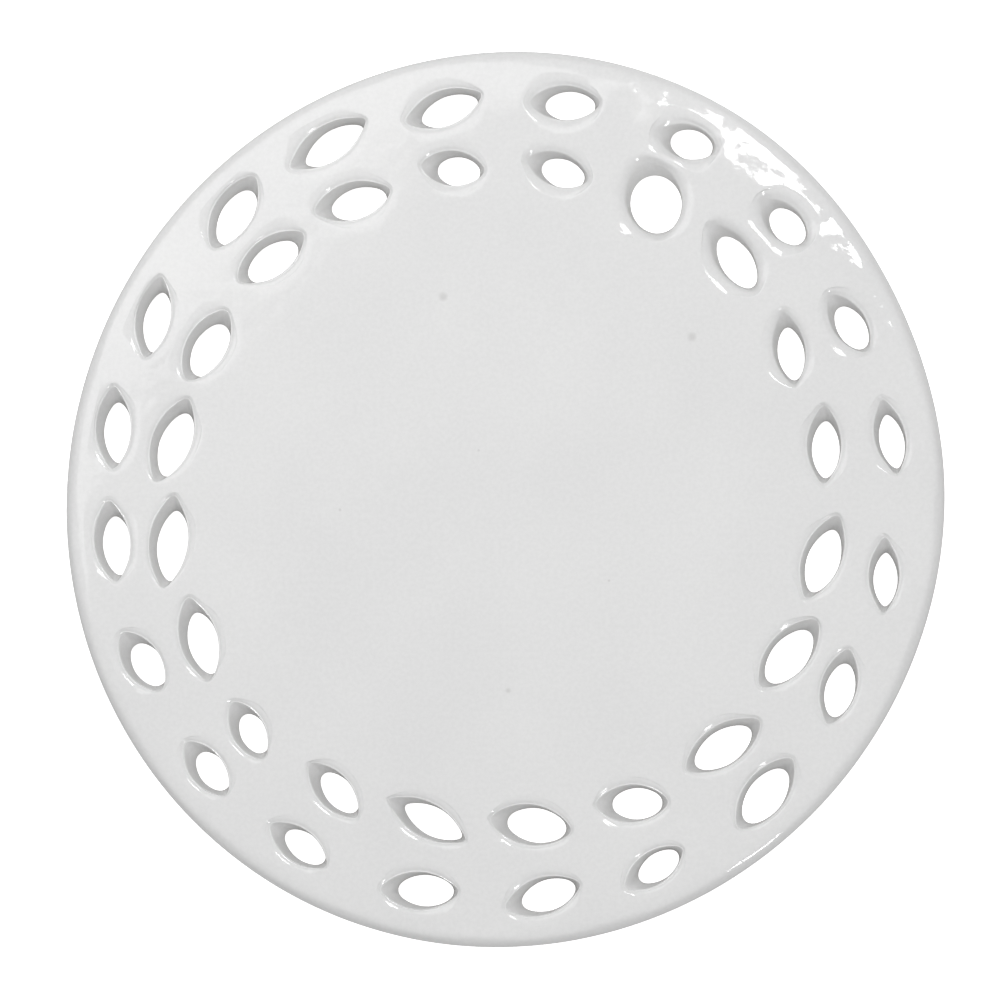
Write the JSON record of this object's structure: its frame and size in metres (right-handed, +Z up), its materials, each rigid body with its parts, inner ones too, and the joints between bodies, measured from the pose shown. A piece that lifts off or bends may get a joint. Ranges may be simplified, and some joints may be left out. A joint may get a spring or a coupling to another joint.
{
  "type": "flower frog",
  "caption": "Flat round pierced ceramic plate that lies on or in a vessel and holds cut flower stems upright in holes round its edge.",
  "frame": {"origin": "middle of the flat underside, on the surface that the plate rests on", "axes": "+Z up through the thickness of the plate, out of its glazed face; X and Y in the plane of the plate"},
  "size_m": [0.1488, 0.1516, 0.006],
  "materials": {
    "clay": "matte",
    "glaze": "gloss"
  },
  "bodies": {
    "root": {"clay_body": "clay", "glaze_coat": "glaze"}
  },
  "joints": []
}
